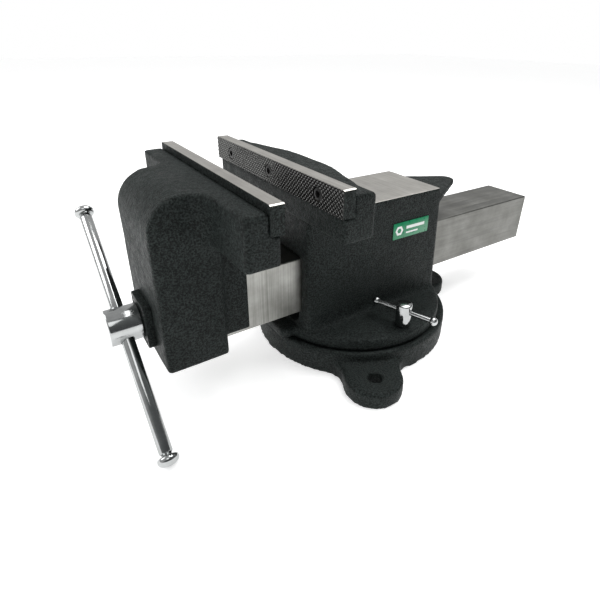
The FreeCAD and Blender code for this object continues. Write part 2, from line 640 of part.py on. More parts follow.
def retainer_screws():
    """Four small socket-head screws of the retainer plate."""
    screws = []
    for x, z in retainer_screw_places():
        top = V(x, COLUMN_FRONT_Y - RETAINER_THICK + 0.1, z)
        screws.append(socket_screw(top, V(0, 1, 0), 3.5, 3.5, RETAINER_SCREW_R, 13.0))
    return Part.makeCompound(screws)


# Screw and handle ----------------------------------------------------------------------

def handle_direction():
    """Unit vector along the handle, from its upper end to its lower end."""
    slope = math.radians(HANDLE_SLOPE_DEG)
    return V(math.cos(slope), 0, -math.sin(slope))


def spindle_screw():
    """Screw with its thrust collar, neck and round head, cross-drilled for the handle."""
    collar_front = COLUMN_FRONT_Y + 0.3
    collar_rear = collar_front + COLLAR_LONG
    head = along_y(HEAD_R, HEAD_FRONT_Y, HEAD_REAR_Y)
    head = head.makeFillet(0.8, [edge for edge in head.Edges if edge.BoundBox.YLength < 0.01])
    screw = fuse(head, along_y(NECK_R, HEAD_REAR_Y - 1, collar_front + 1),
                 along_y(COLLAR_R, collar_front, collar_rear),
                 along_y(THREAD_R, collar_rear - 1, THREAD_REAR_Y))
    end = [edge for edge in screw.Edges if edge.BoundBox.YMin > THREAD_REAR_Y - 0.01]
    screw = screw.makeChamfer(2.0, end)
    centre = V(0, HANDLE_Y, AXIS_Z)
    reach = handle_direction() * 30.0
    return screw.cut(rod(HANDLE_R + 0.08, centre - reach, centre + reach))


def thrust_washer():
    """Bronze washer between the screw's collar and the front jaw."""
    floor = COLUMN_FRONT_Y + COLLAR_LONG + WASHER_THICK + 0.6
    ring = along_y(COLLAR_R, floor - WASHER_THICK, floor)
    return ring.cut(along_y(THREAD_R + RUN_GAP, floor - WASHER_THICK - 1, floor + 1))


def handle_bar():
    """Sliding handle rod, with a short tenon at each end for its knob."""
    centre = V(0, HANDLE_Y, AXIS_Z)
    way = handle_direction()
    low = centre + way * (HANDLE_DOWN - KNOB_LONG / 2)
    high = centre - way * (HANDLE_UP - KNOB_LONG / 2)
    bar = rod(HANDLE_R, high, low)
    tenons = [rod(3.0, low - way, low + way * 4.0), rod(3.0, high + way, high - way * 4.0)]
    return fuse(bar, *tenons)


def handle_knob(end_distance, outward):
    """Flattened round knob pressed on one end of the handle."""
    profile = rounded_wire([
        (V(0, 0, 0), 0.0), (V(KNOB_R - 2.0, 0, 0), 0.0), (V(KNOB_R, 0, 1.6), 1.0),
        (V(KNOB_R, 0, 4.4), 1.6), (V(4.6, 0, KNOB_LONG), 3.0), (V(0, 0, KNOB_LONG), 0.0)])
    knob = Part.Face(profile).revolve(V(0, 0, 0), V(0, 0, 1), 360)
    knob = knob.cut(rod(3.0, V(0, 0, -1), V(0, 0, 4.0)))
    start = V(0, HANDLE_Y, AXIS_Z) + outward * (end_distance - KNOB_LONG / 2)
    knob.Placement = FreeCAD.Placement(start, FreeCAD.Rotation(V(0, 0, 1), outward))
    return knob


save("swivel_base", swivel_base())
save("body_casting", body_casting())
save("rear_jaw_plate", jaw_plate(REAR_GRIP_Y, REAR_GRIP_Y + PLATE_THICK, 1))
save("rear_jaw_screws", plate_screws(REAR_GRIP_Y, 1))
save("spindle_nut", spindle_nut())
save("nut_bolts", nut_bolts())
save("side_label", side_label())
save("pivot_bolt", pivot_bolt())
save("pivot_washer", pivot_washer())
for side_name, side_sign in (("right", 1), ("left", -1)):
    save(side_name + "_lock_shoe", lock_shoe(side_sign))
    save(side_name + "_lock_screw", lock_screw(side_sign))
    save(side_name + "_lock_bar", lock_bar(side_sign))
save("front_jaw_casting", front_jaw_casting())
save("front_jaw_plate", jaw_plate(FRONT_GRIP_Y, FRONT_GRIP_Y - PLATE_THICK, -1))
save("front_jaw_screws", plate_screws(FRONT_GRIP_Y, -1))
save("slide_bar", slide_bar())
save("bar_pins", bar_pins())
save("retainer_plate", retainer_plate())
save("retainer_screws", retainer_screws())
save("spindle_screw", spindle_screw())
save("thrust_washer", thrust_washer())
save("handle_bar", handle_bar())
save("lower_handle_knob", handle_knob(HANDLE_DOWN, handle_direction()))
save("upper_handle_knob", handle_knob(HANDLE_UP, handle_direction() * -1))
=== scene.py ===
import json
import math

import bmesh
import bpy
from mathutils import Matrix, Vector, noise


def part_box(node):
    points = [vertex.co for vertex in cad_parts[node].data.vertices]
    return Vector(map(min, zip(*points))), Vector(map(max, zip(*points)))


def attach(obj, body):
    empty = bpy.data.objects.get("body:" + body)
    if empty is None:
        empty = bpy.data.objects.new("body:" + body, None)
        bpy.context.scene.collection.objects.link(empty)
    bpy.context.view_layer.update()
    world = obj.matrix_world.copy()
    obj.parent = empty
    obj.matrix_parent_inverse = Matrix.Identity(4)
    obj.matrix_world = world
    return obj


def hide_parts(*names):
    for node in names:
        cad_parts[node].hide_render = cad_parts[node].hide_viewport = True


# Looks of a swivel bench vise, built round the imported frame. Lengths are in metres.

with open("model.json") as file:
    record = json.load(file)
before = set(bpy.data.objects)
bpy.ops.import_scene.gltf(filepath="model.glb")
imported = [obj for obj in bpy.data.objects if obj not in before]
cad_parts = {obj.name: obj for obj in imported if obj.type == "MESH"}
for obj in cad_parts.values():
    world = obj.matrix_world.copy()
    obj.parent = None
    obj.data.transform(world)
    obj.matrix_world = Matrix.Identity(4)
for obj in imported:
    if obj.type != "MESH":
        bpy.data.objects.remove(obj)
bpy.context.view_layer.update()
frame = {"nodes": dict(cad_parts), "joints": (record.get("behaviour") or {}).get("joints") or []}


def middle_of(node_name):
    """Centre of a node's box."""
    low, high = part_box(node_name)
    return (low + high) / 2


MM = 0.001
Z_AXIS = Vector((0, 0, 1))
Y_AXIS = Vector((0, 1, 0))

# Places shared with the CAD: the spindle's axis, the jaw plates' screws and the anvil's top
AXIS_Z = middle_of("thrust_washer").z
SCREW_Z = middle_of("rear_jaw_screws").z
SCREW_X = (-0.0715, 0.0, 0.0715)
ANVIL_Z = 0.143

# Camera
CAMERA_PLACE = Vector((0.3225, -0.2685, 0.2747))
CAMERA_AZIMUTH = 55.64
CAMERA_ELEVATION = 26.81
CAMERA_ROLL = 0.92
CAMERA_LENS = 27.16
CAMERA_SHIFT = (-0.023, -0.060)

# The way to the room's dark side
DARK_SIDE = (0.92, 0.30, -0.25)

# Finer sizes than the frame gives
CASTING_VOXEL = 1.55 * MM
SERRATION_PITCH = 2.6 * MM
SERRATION_DEPTH = 0.55 * MM
PLATE_MARGIN = 0.35 * MM
PLATE_SLOPE = 1.3 * MM
COUNTERBORE_R = 5.4 * MM
COUNTERBORE_DEPTH = 6.5 * MM
SCREW_HOLE_R = 3.0 * MM
THREAD_R = 12.0 * MM
THREAD_LEAD = 6.0 * MM
THREAD_DEPTH = 2.4 * MM
HANDLE_R = 5.0 * MM
KNOB_R = 7.8 * MM
KNOB_INSET = 3.2 * MM
LOCK_POST_R = 7.25 * MM
LOCK_FOOT = 12.4 * MM
LOCK_BAR_R = 2.3 * MM
LOCK_BALL_R = 3.8 * MM
LOCK_BAR_REACH = 28.9 * MM

# Dark paint: its plain colour and its specular level
PAINT_TONE = (0.017, 0.020, 0.019)
PAINT_SHINE = 0.10


# Node-tree helpers ---------------------------------------------------------------------

def link(tree, source, target):
    """Join two sockets."""
    tree.links.new(source, target)


def node(tree, kind, **settings):
    """New shader node; names of settings are its properties, or its inputs with an in_ prefix."""
    made = tree.nodes.new(kind)
    for name, value in settings.items():
        if name.startswith("in_"):
            made.inputs[name[3:].replace("_", " ")].default_value = value
        else:
            setattr(made, name, value)
    return made


def new_material(name, color, metallic, roughness):
    """Principled material with its plain values set on the shader itself."""
    material = bpy.data.materials.new(name)
    material.use_nodes = True
    material.diffuse_color = (*color, 1.0)
    shader = material.node_tree.nodes["Principled BSDF"]
    shader.inputs["Base Color"].default_value = (*color, 1.0)
    shader.inputs["Metallic"].default_value = metallic
    shader.inputs["Roughness"].default_value = roughness
    return material, material.node_tree, shader


def object_coords(tree, scale=(1.0, 1.0, 1.0)):
    """Object coordinates, stretched per axis."""
    coords = node(tree, "ShaderNodeTexCoord")
    mapping = node(tree, "ShaderNodeMapping")
    mapping.inputs["Scale"].default_value = scale
    link(tree, coords.outputs["Object"], mapping.inputs["Vector"])
    return mapping.outputs["Vector"]


def noise_value(tree, coords, scale, detail=4.0, rough=0.55):
    """Noise between 0 and 1."""
    made = node(tree, "ShaderNodeTexNoise", in_Scale=scale, in_Detail=detail, in_Roughness=rough)
    link(tree, coords, made.inputs["Vector"])
    return made.outputs["Fac"]


def ramp(tree, value, stops):
    """Colour ramp over (position, colour) stops."""
    made = node(tree, "ShaderNodeValToRGB")
    points = made.color_ramp.elements
    while len(points) < len(stops):
        points.new(0.5)
    for point, (position, color) in zip(points, stops):
        point.position = position
        point.color = (*color, 1.0)
    link(tree, value, made.inputs["Fac"])
    return made.outputs["Color"]


def spread(tree, value, low, high, from_low=0.3, from_high=0.7):
    """Value mapped to a range, clamped."""
    made = node(tree, "ShaderNodeMapRange")
    made.inputs["From Min"].default_value = from_low
    made.inputs["From Max"].default_value = from_high
    made.inputs["To Min"].default_value = low
    made.inputs["To Max"].default_value = high
    link(tree, value, made.inputs["Value"])
    return made.outputs["Result"]


def mix_color(tree, factor, first, second, mode="MIX"):
    """Mix of two colours; each is a socket or a plain colour."""
    made = node(tree, "ShaderNodeMix", data_type="RGBA", blend_type=mode)
    for index, value in ((0, factor), (6, first), (7, second)):
        if isinstance(value, bpy.types.NodeSocket):
            link(tree, value, made.inputs[index])
        elif index == 0:
            made.inputs[index].default_value = value
        else:
            made.inputs[index].default_value = (*value, 1.0)
    return made.outputs[2]


def mix_value(tree, factor, first, second):
    """Mix of two values; each is a socket or a number."""
    made = node(tree, "ShaderNodeMix", data_type="FLOAT")
    for index, value in ((0, factor), (2, first), (3, second)):
        if isinstance(value, bpy.types.NodeSocket):
            link(tree, value, made.inputs[index])
        else:
            made.inputs[index].default_value = value
    return made.outputs[0]


def mix_normal(tree, factor, first, second):
    """Mix of two normals."""
    made = node(tree, "ShaderNodeMix", data_type="VECTOR")
    link(tree, factor, made.inputs[0])
    link(tree, first, made.inputs[4])
    link(tree, second, made.inputs[5])
    return made.outputs[1]


def combine(tree, operation, first, second):
    """Product, larger or other combination of two values."""
    made = node(tree, "ShaderNodeMath", operation=operation)
    link(tree, first, made.inputs[0])
    link(tree, second, made.inputs[1])
    return made.outputs[0]


def bump(tree, height, distance, strength=1.0, onto=None):
    """Bump from a height between 0 and 1, over a distance in metres."""
    made = node(tree, "ShaderNodeBump", in_Strength=strength, in_Distance=distance)
    link(tree, height, made.inputs["Height"])
    if onto is not None:
        link(tree, onto, made.inputs["Normal"])
    return made.outputs["Normal"]


def facing(tree, axis):
    """How far the surface faces along an axis, from the true normal: 1 is straight along it."""
    geometry = node(tree, "ShaderNodeNewGeometry")
    dot = node(tree, "ShaderNodeVectorMath", operation="DOT_PRODUCT")
    dot.inputs[1].default_value = axis
    link(tree, geometry.outputs["Normal"], dot.inputs[0])
    return dot.outputs["Value"]


def height_along(tree, axis_index):
    """One object coordinate."""
    coords = node(tree, "ShaderNodeTexCoord")
    parts = node(tree, "ShaderNodeSeparateXYZ")
    link(tree, coords.outputs["Object"], parts.inputs[0])
    return parts.outputs[axis_index]


# Materials -----------------------------------------------------------------------------

def rough_paint(tree):
    """Colour, roughness and normal of dark paint over rough cast iron."""
    coords = object_coords(tree)
    grain = noise_value(tree, coords, 780.0, 2.0, 0.6)
    lumps = noise_value(tree, coords, 190.0, 4.0, 0.6)
    broad = noise_value(tree, coords, 22.0, 3.0, 0.5)
    tone = ramp(tree, broad, [(0.25, (0.0115, 0.0145, 0.0139)), (0.75, (0.0180, 0.0221, 0.0212))])
    speckle = ramp(tree, grain, [(0.40, (0.25, 0.26, 0.25)), (0.62, (2.0, 2.03, 2.0))])
    painted = mix_color(tree, 0.85, tone, speckle, "MULTIPLY")
    painted_rough = spread(tree, lumps, 0.40, 0.62)
    pitted = bump(tree, lumps, 1.2 * MM, 0.7)
    textured = bump(tree, grain, 0.8 * MM, 1.0, pitted)
    return painted, painted_rough, textured


def casting_material(name, ground_z=None):
    """Painted casting; near ground_z, flat faces are ground bright."""
    material, tree, shader = new_material(name, PAINT_TONE, 0.0, 0.5)
    shader.inputs["Specular IOR Level"].default_value = PAINT_SHINE
    painted, painted_rough, textured = rough_paint(tree)
    if ground_z is None:
        link(tree, painted, shader.inputs["Base Color"])
        link(tree, painted_rough, shader.inputs["Roughness"])
        link(tree, textured, shader.inputs["Normal"])
        return material
    height = height_along(tree, 2)
    above = spread(tree, height, 0.0, 1.0, ground_z - 0.35 * MM, ground_z - 0.15 * MM)
    below = spread(tree, height, 1.0, 0.0, ground_z + 0.6 * MM, ground_z + 0.9 * MM)
    flat = spread(tree, facing(tree, (0, 0, 1)), 0.0, 1.0, 0.80, 0.95)
    mask = combine(tree, "MULTIPLY", combine(tree, "MULTIPLY", above, below), flat)
    ground, ground_rough, scratches = ground_finish(tree)
    link(tree, mix_color(tree, mask, painted, ground), shader.inputs["Base Color"])
    link(tree, mix_value(tree, mask, painted_rough, ground_rough), shader.inputs["Roughness"])
    link(tree, mask, shader.inputs["Metallic"])
    smooth = bump(tree, scratches, 0.05 * MM, 0.5)
    link(tree, mix_normal(tree, mask, textured, smooth), shader.inputs["Normal"])
    return material


def ground_finish(tree):
    """Colour, roughness and scratch height of a surface-ground face, with marks along X."""
    fine = noise_value(tree, object_coords(tree, (14.0, 900.0, 900.0)), 1.0, 4.0, 0.6)
    wide = noise_value(tree, object_coords(tree, (22.0, 330.0, 330.0)), 1.0, 4.0, 0.65)
    cloud = noise_value(tree, object_coords(tree), 45.0, 4.0, 0.6)
    streaks = ramp(tree, wide, [(0.3, (0.44, 0.425, 0.395)), (0.7, (0.56, 0.545, 0.51))])
    stain = ramp(tree, cloud, [(0.3, (0.80, 0.80, 0.80)), (0.7, (1.06, 1.06, 1.06))])
    color = mix_color(tree, 0.9, streaks, stain, "MULTIPLY")
    rough = spread(tree, fine, 0.28, 0.46)
    return color, rough, fine


def plate_steel(name, grip_y, grip_sign):
    """Jaw plate: bright ground top, dark serrations with a painted glint on their points and painted shade
    in their valleys, black-painted ends and back.
    """
    material, tree, shader = new_material(name, (0.1, 0.1, 0.1), 1.0, 0.35)
    shader.inputs["Specular IOR Level"].default_value = PAINT_SHINE
    bright, bright_rough, scratches = ground_finish(tree)
    painted, painted_rough, textured = rough_paint(tree)
    mottled = noise_value(tree, object_coords(tree), 260.0, 5.0, 0.65)
    valley_shade = ramp(tree, mottled, [(0.3, (0.022, 0.023, 0.022)), (0.7, (0.055, 0.056, 0.054))])
    across = height_along(tree, 1)
    inner = grip_y - grip_sign * SERRATION_DEPTH
    # By depth, serration points are painted bright as a glint and the valleys stay dark as painted shade.
    point = spread(tree, across, 0.0, 1.0, inner + grip_sign * 0.15 * MM, grip_y)
    grip_glint_and_shade = mix_color(tree, point, valley_shade, (0.36, 0.36, 0.35))
    zone = spread(tree, across, 0.0, 1.0, inner - grip_sign * 0.24 * MM, inner - grip_sign * 0.16 * MM)
    up = spread(tree, facing(tree, (0, 0, 1)), 0.0, 1.0, 0.78, 0.86)
    metal = combine(tree, "MAXIMUM", zone, up)
    sides = mix_color(tree, zone, painted, grip_glint_and_shade)
    sides_rough = mix_value(tree, zone, painted_rough, 0.27)
    link(tree, mix_color(tree, up, sides, bright), shader.inputs["Base Color"])
    link(tree, mix_value(tree, up, sides_rough, bright_rough), shader.inputs["Roughness"])
    link(tree, metal, shader.inputs["Metallic"])
    smooth = bump(tree, scratches, 0.04 * MM, 0.6)
    link(tree, mix_normal(tree, metal, textured, smooth), shader.inputs["Normal"])
    return material


def bar_steel():
    """Milled slide bar: cutter marks across its front half, satin marks behind, and its top at the front
    end painted dark as the shade between the jaws.
    """
    material, tree, shader = new_material("bar_steel", (0.5, 0.5, 0.48), 1.0, 0.4)
    across = noise_value(tree, object_coords(tree, (5.0, 700.0, 5.0)), 1.0, 3.0, 0.7)
    along = noise_value(tree, object_coords(tree, (260.0, 9.0, 260.0)), 1.0, 4.0, 0.6)
    clouds = noise_value(tree, object_coords(tree), 38.0, 4.0, 0.6)
    back = spread(tree, height_along(tree, 1), 0.0, 1.0, -0.02, 0.10)
    marks = mix_value(tree, back, across, along)
    tone = ramp(tree, clouds, [(0.25, (0.19, 0.19, 0.175)), (0.5, (0.27, 0.27, 0.255)),
                               (0.75, (0.36, 0.36, 0.345))])
    lines = ramp(tree, marks, [(0.3, (0.62, 0.62, 0.62)), (0.65, (1.15, 1.15, 1.15))])
    marked = mix_color(tree, 0.8, tone, lines, "MULTIPLY")
    worn = mix_color(tree, back, (1.22, 1.22, 1.21), (0.66, 0.66, 0.65))
    upward = spread(tree, facing(tree, (0, 0, 1)), 0.0, 1.0, 0.85, 0.95)
    front_end = spread(tree, height_along(tree, 1), 1.0, 0.0, -0.085, -0.055)
    steel = mix_color(tree, 1.0, marked, worn, "MULTIPLY")
    # Top faces near the bar's front end are darkened: painted shade in the gap between the jaws.
    oil_and_gap_shade = combine(tree, "MULTIPLY", upward, front_end)
    gap_shade = mix_color(tree, oil_and_gap_shade, (1.0, 1.0, 1.0), (0.32, 0.32, 0.31))
    link(tree, mix_color(tree, 1.0, steel, gap_shade, "MULTIPLY"), shader.inputs["Base Color"])
    link(tree, spread(tree, marks, 0.30, 0.52), shader.inputs["Roughness"])
    link(tree, bump(tree, marks, 0.10 * MM, 0.7), shader.inputs["Normal"])
    return material


def chrome():
    """Bright plating with faint waviness under it."""
    material, tree, shader = new_material("chrome", (0.42, 0.43, 0.43), 1.0, 0.1)
    coords = object_coords(tree)
    cloudy = noise_value(tree, coords, 90.0, 3.0, 0.5)
    ripple = noise_value(tree, coords, 160.0, 2.0, 0.5)
    link(tree, spread(tree, cloudy, 0.07, 0.20), shader.inputs["Roughness"])
    link(tree, ramp(tree, cloudy, [(0.3, (0.37, 0.38, 0.38)), (0.7, (0.48, 0.49, 0.49))]),
         shader.inputs["Base Color"])
    link(tree, bump(tree, ripple, 0.06 * MM, 0.35), shader.inputs["Normal"])
    return material


def black_steel():
    """Black-oxide steel of screws and bolts."""
    material, tree, shader = new_material("black_steel", (0.03, 0.03, 0.032), 0.6, 0.4)
    oil_and_gap_shade = noise_value(tree, object_coords(tree), 420.0, 4.0, 0.6)
    link(tree, ramp(tree, oil_and_gap_shade, [(0.3, (0.018, 0.018, 0.019)), (0.7, (0.055, 0.054, 0.053))]),
         shader.inputs["Base Color"])
    link(tree, spread(tree, oil_and_gap_shade, 0.3, 0.5), shader.inputs["Roughness"])
    link(tree, bump(tree, oil_and_gap_shade, 0.05 * MM, 0.5), shader.inputs["Normal"])
    return material


def turned_metal(name, dark, light):
    """Plain machined metal with faint tool marks."""
    material, tree, shader = new_material(name, light, 1.0, 0.4)
    marks = noise_value(tree, object_coords(tree, (60.0, 800.0, 60.0)), 1.0, 3.0, 0.6)
    link(tree, ramp(tree, marks, [(0.3, dark), (0.7, light)]), shader.inputs["Base Color"])
    link(tree, spread(tree, marks, 0.3, 0.5), shader.inputs["Roughness"])
    link(tree, bump(tree, marks, 0.06 * MM, 0.5), shader.inputs["Normal"])
    return material


def label_material(name, low, high):
    """Printed plastic label with a slight orange-peel gloss."""
    material, tree, shader = new_material(name, high, 0.0, 0.3)
    peel = noise_value(tree, object_coords(tree), 300.0, 3.0, 0.5)
    link(tree, ramp(tree, peel, [(0.3, low), (0.7, high)]), shader.inputs["Base Color"])
    link(tree, spread(tree, peel, 0.26, 0.38), shader.inputs["Roughness"])
    link(tree, bump(tree, peel, 0.03 * MM, 0.3), shader.inputs["Normal"])
    return material


def floor_material():
    """Plain pale floor."""
    material, tree, shader = new_material("floor", (0.93, 0.93, 0.93), 0.0, 0.6)
    shader.inputs["Emission Color"].default_value = (1.0, 1.0, 1.0, 1.0)
    shader.inputs["Emission Strength"].default_value = 0.54
    faint = noise_value(tree, object_coords(tree), 3.0, 2.0, 0.5)
    link(tree, ramp(tree, faint, [(0.3, (0.925, 0.925, 0.925)), (0.7, (0.94, 0.94, 0.94))]),
         shader.inputs["Base Color"])
    return material


CAST = casting_material("painted_casting")
CAST_GROUND = casting_material("painted_casting_ground_anvil", ANVIL_Z)
BAR_STEEL = bar_steel()
CHROME = chrome()
BLACK_STEEL = black_steel()
PLAIN_STEEL = turned_metal("plain_steel", (0.28, 0.28, 0.27), (0.46, 0.46, 0.45))
BRONZE = turned_metal("bronze", (0.42, 0.28, 0.13), (0.62, 0.44, 0.22))
LABEL_GREEN = label_material("label_green", (0.006, 0.205, 0.085), (0.009, 0.245, 0.105))
LABEL_WHITE = label_material("label_white", (0.78, 0.80, 0.79), (0.84, 0.85, 0.84))


# Mesh helpers --------------------------------------------------------------------------

def new_object(name, mesh):
    """Object of a mesh, in the scene."""
    made = bpy.data.objects.new(name, mesh)
    bpy.context.scene.collection.objects.link(made)
    return made


def evaluated(piece):
    """Mesh of an object with its modifiers applied; the object goes away."""
    bpy.context.view_layer.update()
    graph = bpy.context.evaluated_depsgraph_get()
    mesh = bpy.data.meshes.new_from_object(piece.evaluated_get(graph), depsgraph=graph)
    bpy.data.objects.remove(piece)
    return mesh


def mesh_from(bm, name):
    """Mesh of a bmesh, with its faces turned outwards."""
    bmesh.ops.recalc_face_normals(bm, faces=bm.faces)
    mesh = bpy.data.meshes.new(name)
    bm.to_mesh(mesh)
    bm.free()
    return mesh


def smooth_shade(mesh, angle_deg=35.0):
    """Smooth shading, with edges sharper than an angle kept crisp."""
    mesh.shade_smooth()
    bm = bmesh.new()
    bm.from_mesh(mesh)
    limit = math.radians(angle_deg)
    for edge in bm.edges:
        if len(edge.link_faces) == 2:
            edge.smooth = edge.calc_face_angle(0.0) < limit
    bm.to_mesh(mesh)
    bm.free()


def add_piece(name, mesh, material, body, slot, *replaced):
    """Finished piece on a body, standing for CAD nodes."""
    mesh.materials.clear()
    mesh.materials.append(material)
    piece = new_object(name, mesh)
    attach(piece, body)
    if replaced:
        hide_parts(*replaced)
    return piece


def lathe(bm, profile, start, axis, sides=64):
    """Closed round solid: (radius, distance) points along an axis from a start point."""
    turn = Z_AXIS.rotation_difference(axis.normalized()).to_matrix()
    rings = []
    for radius, distance in profile:
        if radius < 1e-7:
            rings.append([bm.verts.new(start + turn @ Vector((0, 0, distance)))])
            continue
        ring = []
        for k in range(sides):
            angle = 2 * math.pi * k / sides
            spot = Vector((radius * math.cos(angle), radius * math.sin(angle), distance))
            ring.append(bm.verts.new(start + turn @ spot))
        rings.append(ring)
    for low, high in zip(rings, rings[1:]):
        for k in range(sides):
            after = (k + 1) % sides
            if len(low) == 1:
                bm.faces.new((low[0], high[after], high[k]))
            elif len(high) == 1:
                bm.faces.new((low[k], low[after], high[0]))
            else:
                bm.faces.new((low[k], low[after], high[after], high[k]))


def rounded_end(radius, length, round_r, steps=5):
    """Profile of a plain cylinder whose two end edges are rounded."""
    inner = radius - round_r
    arc = [math.pi / 2 * k / steps for k in range(steps + 1)]
    points = [(0.0, 0.0)]
    points += [(inner + round_r * math.sin(angle), round_r - round_r * math.cos(angle)) for angle in arc]
    points += [(inner + round_r * math.cos(angle), length - round_r + round_r * math.sin(angle))
               for angle in arc]
    points.append((0.0, length))
    return points


def ball_profile(radius, steps=14):
    """Half circle from pole to pole."""
    return [(radius * math.sin(math.pi * k / steps), radius - radius * math.cos(math.pi * k / steps))
            for k in range(steps + 1)]


def drilled(mesh, drills):
    """Mesh with round holes cut through it: (radius, start, end) each."""
    cut = new_object("cut", mesh)
    tools = []
    for radius, start, end in drills:
        bm = bmesh.new()
        lathe(bm, [(0, 0), (radius, 0), (radius, (end - start).length), (0, (end - start).length)],
              start, end - start, 64)
        tools.append(new_object("drill", mesh_from(bm, "drill")))
    return cut_by(cut, tools)


def cut_by(target, tools):
    """Mesh of the target with every tool's solid taken away."""
    for tool in tools:
        change = target.modifiers.new("cut", "BOOLEAN")
        change.operation = "DIFFERENCE"
        change.solver = "EXACT"
        change.object = tool
    mesh = evaluated(target)
    for tool in tools:
        bpy.data.objects.remove(tool)
    return mesh


def bevelled(mesh, width, angle_deg=30.0, segments=2):
    """Mesh with its sharp edges slightly rounded."""
    shaped = new_object("bevel", mesh)
    weld = shaped.modifiers.new("weld", "WELD")
    weld.merge_threshold = 0.002 * MM
    change = shaped.modifiers.new("bevel", "BEVEL")
    change.width = width
    change.segments = segments
    change.limit_method = "ANGLE"
    change.angle_limit = math.radians(angle_deg)
    return evaluated(shaped)


# Castings ------------------------------------------------------------------------------

def cast_surface(node_name, keep_flat):
    """Softened copy of a casting with an as-cast surface; keep_flat names its machined places."""
    source = frame["nodes"][node_name]
    copy = new_object("cast", source.data.copy())
    remesh = copy.modifiers.new("remesh", "REMESH")
    remesh.mode = "VOXEL"
    remesh.voxel_size = CASTING_VOXEL
    remesh.adaptivity = 0.0
    relax = copy.modifiers.new("relax", "SMOOTH")
    relax.factor = 0.5
    relax.iterations = 4
    mesh = evaluated(copy)
    normals = [vertex.normal.copy() for vertex in mesh.vertices]
    for vertex, normal in zip(mesh.vertices, normals):
        spot = vertex.co
        if keep_flat(spot, normal):
            continue
        wave = noise.noise(spot * 45.0) * 0.22 + noise.noise(spot * 170.0) * 0.10
        vertex.co = spot + normal * (wave - 0.16) * MM
    mesh.shade_smooth()
    return mesh


def flat_on_body(spot, _normal):
    """Machined places of the fixed jaw: anvil top and bar way."""
    on_anvil = spot.z > ANVIL_Z - 1.2 * MM and spot.z < ANVIL_Z + MM
    in_way = abs(spot.x) < 0.030 and 0.034 < spot.z < 0.106
    return on_anvil or in_way


def flat_on_front(spot, _normal):
    """Machined places of the front jaw: the socket of the bar."""
    return abs(spot.x) < 0.030 and 0.045 < spot.z < 0.106 and spot.y > -0.1555


def flat_on_base(spot, normal):
    """Machined places of the base: its underside and the land under the turning disc."""
    return normal.z < -0.9 or (spot.z < 0.0235 and spot.xy.length < 0.094)


def build_castings():
    """The three castings."""
    add_piece("fixed_jaw", cast_surface("body_casting", flat_on_body), CAST_GROUND,
              "body", "casting", "body_casting")
    add_piece("front_jaw", cast_surface("front_jaw_casting", flat_on_front), CAST,
              "front_jaw", "casting", "front_jaw_casting")
    add_piece("round_base", cast_surface("swivel_base", flat_on_base), CAST,
              "base", "casting", "swivel_base")


# Jaw plates and their screws -----------------------------------------------------------

def open_edges(bm):
    """Edges with a face on one side only."""
    return [edge for edge in bm.edges if len(edge.link_faces) == 1]


def cut_away(bm, spot, normal):
    """Cut off whatever lies past a plane."""
    everything = bm.verts[:] + bm.edges[:] + bm.faces[:]
    bmesh.ops.bisect_plane(bm, geom=everything, plane_co=spot, plane_no=normal, clear_outer=True)


def drawn_out(bm):
    """Extend the open edges by a new strip, and give the strip's new corners."""
    out = bmesh.ops.extrude_edge_only(bm, edges=open_edges(bm))
    return [item for item in out["geom"] if isinstance(item, bmesh.types.BMVert)]


def pyramid_sheet(low, high, grip_y, grip_sign):
    """Sheet of small pyramids, trimmed just inside the plate's outline."""
    bm = bmesh.new()
    half = SERRATION_PITCH / math.sqrt(2)
    columns = int((high.x - low.x) / half) + 6
    rows = int((high.z - low.z) / half) + 6
    start_x = low.x - 3 * half
    start_z = low.z - 3 * half
    spots = {}
    for i in range(columns):
        for j in range(rows):
            depth = 0.0 if (i + j) % 2 == 0 else SERRATION_DEPTH
            place = Vector((start_x + i * half, grip_y - grip_sign * depth, start_z + j * half))
            spots[i, j] = bm.verts.new(place)
    for i in range(columns - 1):
        for j in range(rows - 1):
            corners = (spots[i, j], spots[i + 1, j], spots[i + 1, j + 1], spots[i, j + 1])
            if (i + j) % 2 == 1:
                bm.faces.new((corners[0], corners[1], corners[2]))
                bm.faces.new((corners[0], corners[2], corners[3]))
            else:
                bm.faces.new((corners[0], corners[1], corners[3]))
                bm.faces.new((corners[1], corners[2], corners[3]))
    cut_away(bm, Vector((low.x + PLATE_MARGIN, 0, 0)), Vector((-1, 0, 0)))
    cut_away(bm, Vector((high.x - PLATE_MARGIN, 0, 0)), Vector((1, 0, 0)))
    cut_away(bm, Vector((0, 0, low.z + PLATE_MARGIN)), Vector((0, 0, -1)))
    cut_away(bm, Vector((0, 0, high.z - PLATE_MARGIN)), Vector((0, 0, 1)))
    return bm


